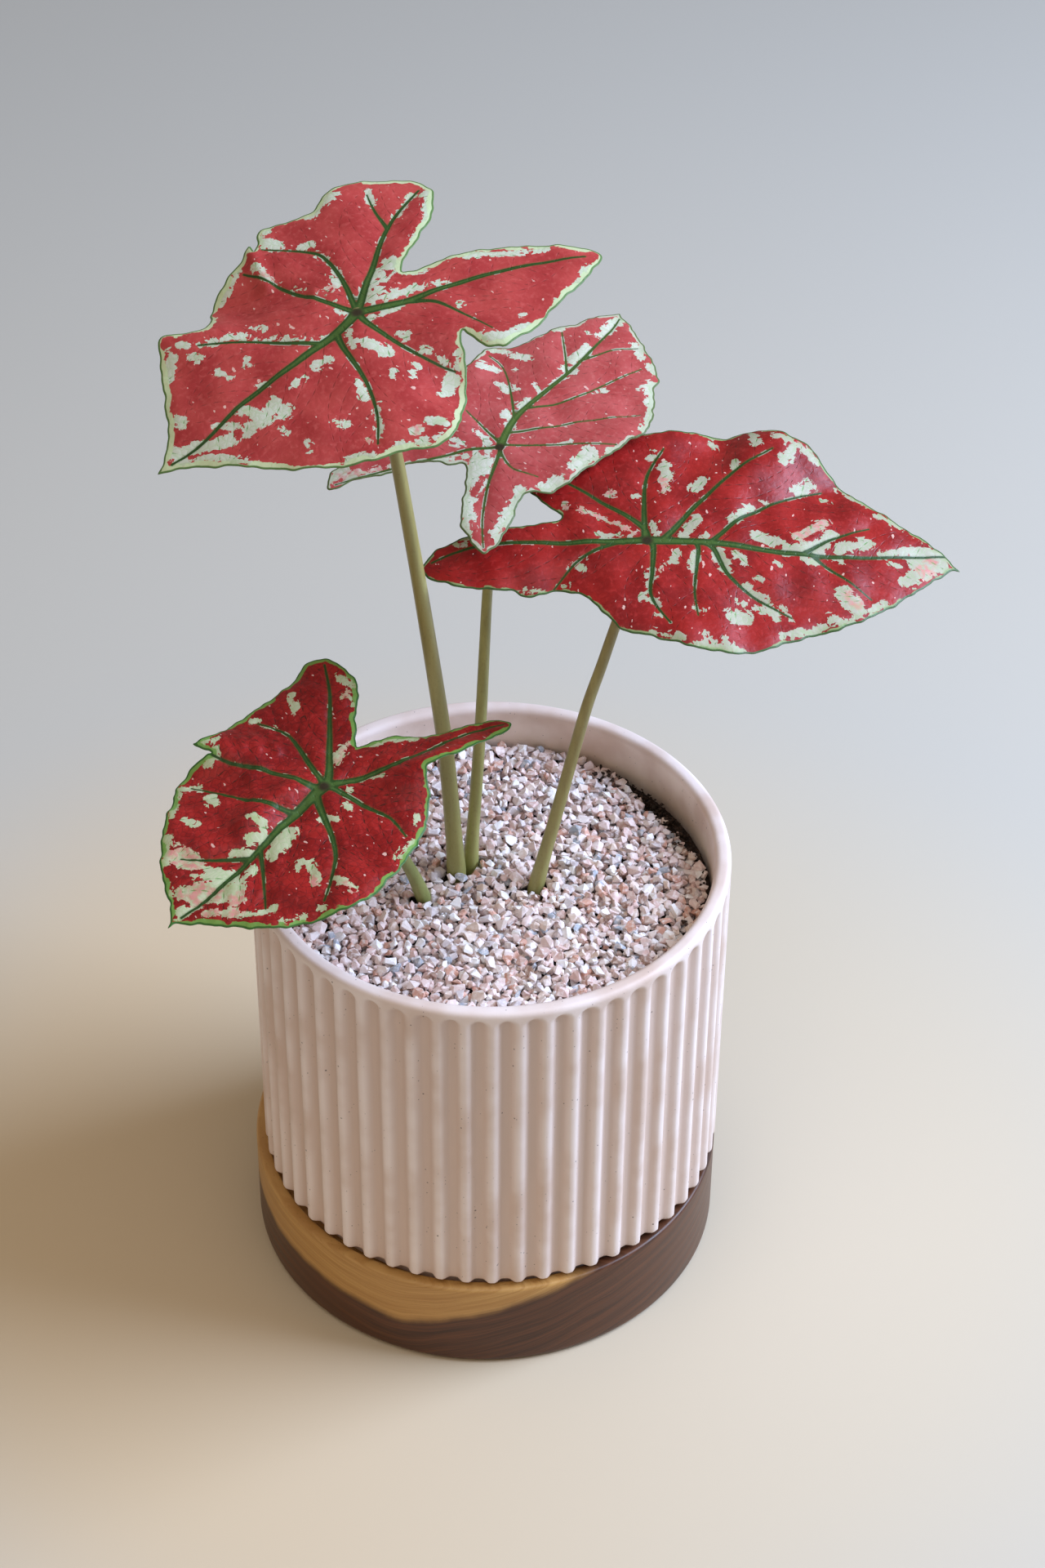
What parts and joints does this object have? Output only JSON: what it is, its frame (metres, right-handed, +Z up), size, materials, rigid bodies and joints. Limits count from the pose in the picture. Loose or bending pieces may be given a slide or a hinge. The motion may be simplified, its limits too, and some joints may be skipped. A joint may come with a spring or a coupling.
{
  "type": "potted caladium",
  "caption": "Fancy-leaved caladium with variegated heart-shaped leaves in a fluted ceramic pot on a turned wood base.",
  "frame": {"origin": "centre of the wood base's flat underside", "axes": "+Z up through the pot, +Y away from the side that shows the plant's face, +X to that view's right"},
  "size_m": [0.2038, 0.1662, 0.3141],
  "materials": {
    "acacia_wood": "satin",
    "blush_ceramic": "matte",
    "potting_mix": "matte",
    "tuber_skin": "matte",
    "pink_grit": "matte",
    "leaf_stalk": "satin",
    "leaf_blade": "satin"
  },
  "bodies": {
    "root": {"wood_base": "acacia_wood", "pot": "blush_ceramic", "potting_mix": "potting_mix", "tuber": "tuber_skin", "grit": "pink_grit", "stalk_tall": "leaf_stalk", "stalk_back": "leaf_stalk", "stalk_right": "leaf_stalk", "stalk_low": "leaf_stalk", "blade_tall": "leaf_blade", "blade_back": "leaf_blade", "blade_right": "leaf_blade", "blade_low": "leaf_blade"}
  },
  "joints": []
}
